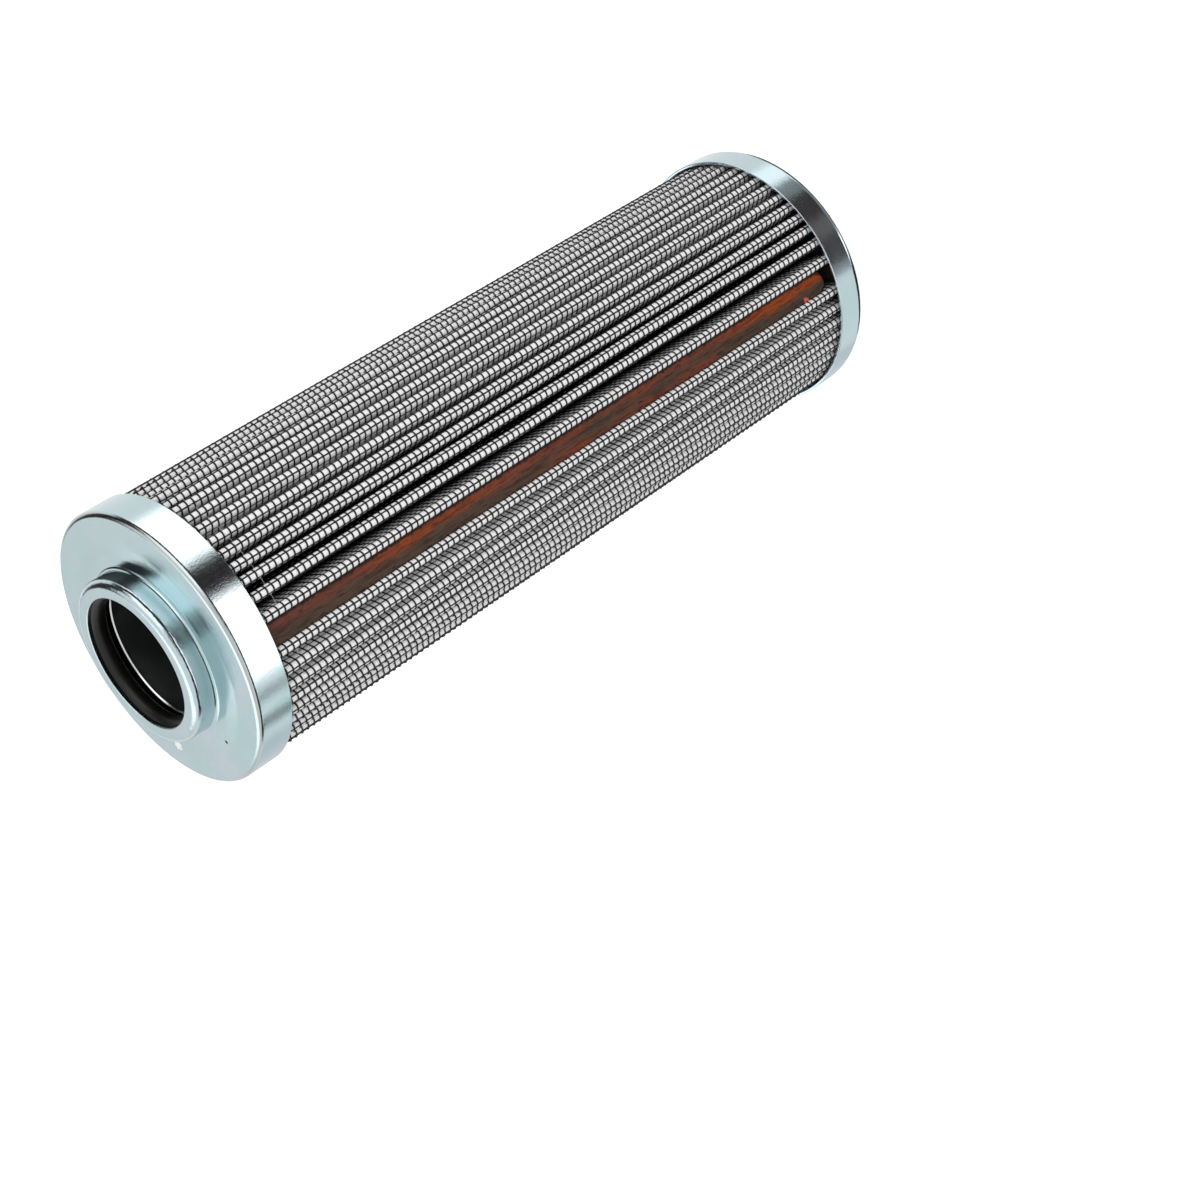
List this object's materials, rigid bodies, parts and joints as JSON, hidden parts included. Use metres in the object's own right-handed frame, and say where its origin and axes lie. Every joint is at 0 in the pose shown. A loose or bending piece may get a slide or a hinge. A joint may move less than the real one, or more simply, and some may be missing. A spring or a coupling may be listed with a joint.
{
  "type": "hydraulic filter element",
  "caption": "Pleated wire-mesh hydraulic filter element with pressed steel end caps, an open neck with a sealing ring, and a resin side seam.",
  "frame": {"origin": "centre of the closed end cap's flat face, on which the element stands", "axes": "+Z along the element's axis, from the closed cap to the open neck; -Y through the side seam"},
  "size_m": [0.068, 0.068, 0.2135],
  "materials": {
    "zinc_sheet": "bright zinc plate with a pale blue passivation",
    "zinc_sheet_closed": "bright zinc plate with a pale blue passivation",
    "seal_rubber": "smooth black nitrile rubber",
    "bright_ring": "bright zinc plate",
    "tube_steel": "plain perforated steel sheet",
    "potting": "cast dark resin",
    "black_wire": "woven steel wire with a black coating",
    "white_fleece": "white polyester fleece",
    "glass_fibre": "white glass-fibre paper",
    "support_cloth": "thin white fleece",
    "inner_wire": "woven steel wire with a dark coating",
    "seam_resin": "glossy red-brown seam resin",
    "clear_thread": "fine translucent thread"
  },
  "bodies": {
    "root": {"open_end_cap": "zinc_sheet", "closed_end_cap": "zinc_sheet_closed", "neck_sealing_ring": "seal_rubber", "seal_retaining_ring": "bright_ring", "centre_tube": "tube_steel", "potting_open_end": "potting", "potting_closed_end": "potting", "outer_wire_mesh": "black_wire", "prefilter_fleece": "white_fleece", "glass_fibre_media": "glass_fibre", "support_fleece": "support_cloth", "inner_wire_mesh": "inner_wire", "side_seam_resin": "seam_resin", "spacing_thread": "clear_thread"}
  },
  "joints": []
}
